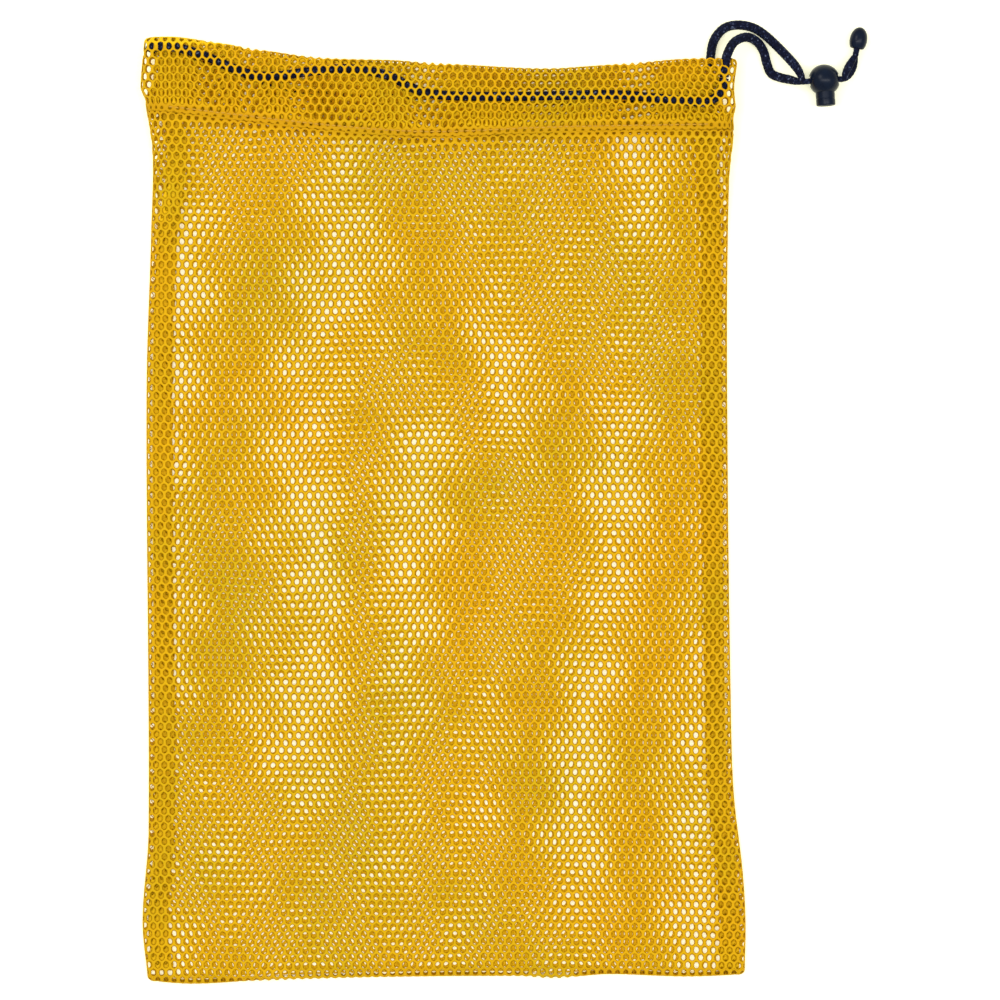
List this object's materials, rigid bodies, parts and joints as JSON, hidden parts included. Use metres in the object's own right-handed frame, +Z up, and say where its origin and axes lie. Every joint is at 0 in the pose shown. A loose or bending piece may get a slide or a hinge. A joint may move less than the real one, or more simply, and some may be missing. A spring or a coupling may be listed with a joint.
{
  "type": "mesh laundry bag",
  "caption": "Flat drawstring laundry bag of open hexagonal mesh, with side seams, a cord sleeve round the mouth, a sprung ball cord lock and a cord-end bead.",
  "frame": {"origin": "centre of the bag's footprint, on the surface that it lies on; the free cord ends and what is on them aren't counted", "axes": "+Y towards the mouth, +Z up off the surface, +X to the side where the cord comes out"},
  "size_m": [0.3633, 0.4827, 0.0188],
  "materials": {
    "mesh": "golden-yellow warp-knit polyester mesh, soft satin",
    "thread": "yellow polyester sewing thread",
    "cord": "dark navy braided polyester",
    "plastic": "dark slate-navy moulded plastic, semi-gloss",
    "spring_steel": "bright drawn wire"
  },
  "bodies": {
    "bag": {"front_panel": "mesh", "back_panel": "mesh", "bottom_fold": "mesh", "front_hem": "mesh", "back_hem": "mesh", "left_seam_allowance": "mesh", "right_seam_allowance": "mesh", "left_seam_thread": "thread", "right_seam_thread": "thread", "front_hem_stitching": "thread", "back_hem_stitching": "thread", "drawcord": "cord", "outer_strand": "cord", "inner_strand": "cord", "cord_knot": "cord", "cord_end_bead": "plastic"},
    "cord_lock": {"lock_barrel": "plastic", "lock_spring": "spring_steel"},
    "lock_button": {"lock_plunger": "plastic"}
  },
  "joints": [
    {"name": "lock_slide", "type": "slide", "parent": "bag", "child": "cord_lock", "axis": [0.9976, 0.0698, 0], "range_m": [-0.002, 0.001]},
    {"name": "button_press", "type": "slide", "parent": "cord_lock", "child": "lock_button", "axis": [-0.0698, 0.9976, 0], "range_m": [0, 0.0022], "stiffness_N_per_m": 600, "springref_m": -0.0015, "deforming": ["lock_spring"]}
  ]
}
